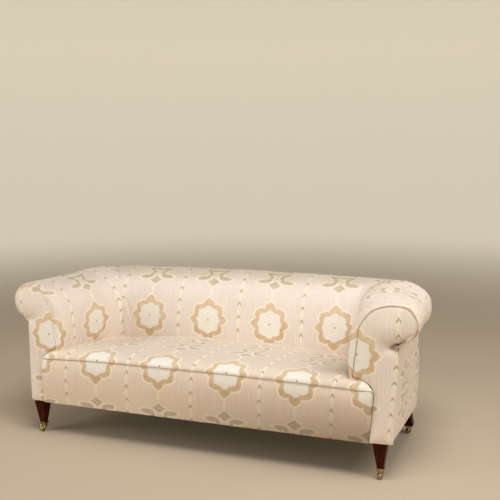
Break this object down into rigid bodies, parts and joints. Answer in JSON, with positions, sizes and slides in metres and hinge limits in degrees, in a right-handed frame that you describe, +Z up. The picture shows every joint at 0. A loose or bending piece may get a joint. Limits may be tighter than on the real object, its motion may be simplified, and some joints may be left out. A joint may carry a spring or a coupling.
{
  "type": "chesterfield sofa",
  "caption": "Low rolled-arm sofa with arms level with the back, fixed sprung seat, patterned woven cover, piped scroll fronts and tapered wooden legs on brass castors.",
  "frame": {"origin": "on the floor under the middle of the overall box, midway between the arms and between front and back", "axes": "+X along the length of the sofa, to the right of someone facing it; +Y from the front towards the back; +Z up"},
  "size_m": [1.89, 0.8, 0.725],
  "materials": {
    "upholstery": "woven linen and cotton cloth with a traditional medallion and chevron stripe, matt",
    "piping": "cloth-covered cord, matt",
    "stuffing": "curled hair and cotton felt",
    "jute": "coarse jute weave",
    "black_cotton": "thin black cotton cloth",
    "beech": "sawn and planed, unfinished",
    "mahogany": "dark red-brown French polish, semi-gloss",
    "brass": "old polished brass with tarnish in the corners",
    "spring_steel": "plain drawn steel"
  },
  "bodies": {
    "sofa": {"arm_and_back_webbing": "jute", "arm_stuffing_left": "stuffing", "arm_stuffing_right": "stuffing", "arm_top_rail_left": "beech", "arm_top_rail_right": "beech", "back_rail": "beech", "back_stuffing": "stuffing", "back_top_rail": "beech", "back_uprights": "beech", "castor_screws": "brass", "dust_cover": "black_cotton", "facing_left": "upholstery", "facing_piping_left": "piping", "facing_piping_right": "piping", "facing_right": "upholstery", "frame_dowels": "beech", "front_border_cover": "upholstery", "front_castor_cups": "brass", "front_leg_left": "mahogany", "front_leg_right": "mahogany", "front_post_left": "beech", "front_post_right": "beech", "front_rail": "beech", "inside_arm_cover_left": "upholstery", "inside_arm_cover_right": "upholstery", "inside_back_cover": "upholstery", "leg_bolts": "spring_steel", "outside_arm_cover_left": "upholstery", "outside_arm_cover_right": "upholstery", "outside_back_cover": "upholstery", "rear_castor_plates": "brass", "rear_corner_blocks": "beech", "rear_leg_left": "mahogany", "rear_leg_right": "mahogany", "rear_post_left": "beech", "rear_post_right": "beech", "seat_cover": "upholstery", "seat_hessian": "jute", "seat_piping": "piping", "seat_springs": "spring_steel", "seat_stretcher": "beech", "seat_stuffing": "stuffing", "seat_webbing": "jute", "side_rail_left": "beech", "side_rail_right": "beech", "tacking_rails": "beech", "top_corner_blocks": "beech"},
    "fork_front_left": {"castor_fork_front_left": "brass", "castor_axle_front_left": "brass"},
    "wheel_front_left": {"castor_wheel_front_left": "brass"},
    "fork_front_right": {"castor_fork_front_right": "brass", "castor_axle_front_right": "brass"},
    "wheel_front_right": {"castor_wheel_front_right": "brass"},
    "fork_rear_left": {"castor_fork_rear_left": "brass", "castor_axle_rear_left": "brass"},
    "wheel_rear_left": {"castor_wheel_rear_left": "brass"},
    "fork_rear_right": {"castor_fork_rear_right": "brass", "castor_axle_rear_right": "brass"},
    "wheel_rear_right": {"castor_wheel_rear_right": "brass"}
  },
  "joints": [
    {"name": "swivel_front_left", "type": "hinge", "parent": "sofa", "child": "fork_front_left", "pos_m": [-0.812, -0.336, 0.034], "axis": [0, 0, 1], "continuous": true},
    {"name": "roll_front_left", "type": "hinge", "parent": "fork_front_left", "child": "wheel_front_left", "pos_m": [-0.812, -0.348, 0.013], "axis": [1, 0, 0], "continuous": true},
    {"name": "swivel_front_right", "type": "hinge", "parent": "sofa", "child": "fork_front_right", "pos_m": [0.812, -0.336, 0.034], "axis": [0, 0, 1], "continuous": true},
    {"name": "roll_front_right", "type": "hinge", "parent": "fork_front_right", "child": "wheel_front_right", "pos_m": [0.812, -0.348, 0.013], "axis": [1, 0, 0], "continuous": true},
    {"name": "swivel_rear_left", "type": "hinge", "parent": "sofa", "child": "fork_rear_left", "pos_m": [-0.812, 0.238, 0.034], "axis": [0, 0, 1], "continuous": true},
    {"name": "roll_rear_left", "type": "hinge", "parent": "fork_rear_left", "child": "wheel_rear_left", "pos_m": [-0.812, 0.226, 0.013], "axis": [1, 0, 0], "continuous": true},
    {"name": "swivel_rear_right", "type": "hinge", "parent": "sofa", "child": "fork_rear_right", "pos_m": [0.812, 0.238, 0.034], "axis": [0, 0, 1], "continuous": true},
    {"name": "roll_rear_right", "type": "hinge", "parent": "fork_rear_right", "child": "wheel_rear_right", "pos_m": [0.812, 0.226, 0.013], "axis": [1, 0, 0], "continuous": true}
  ]
}
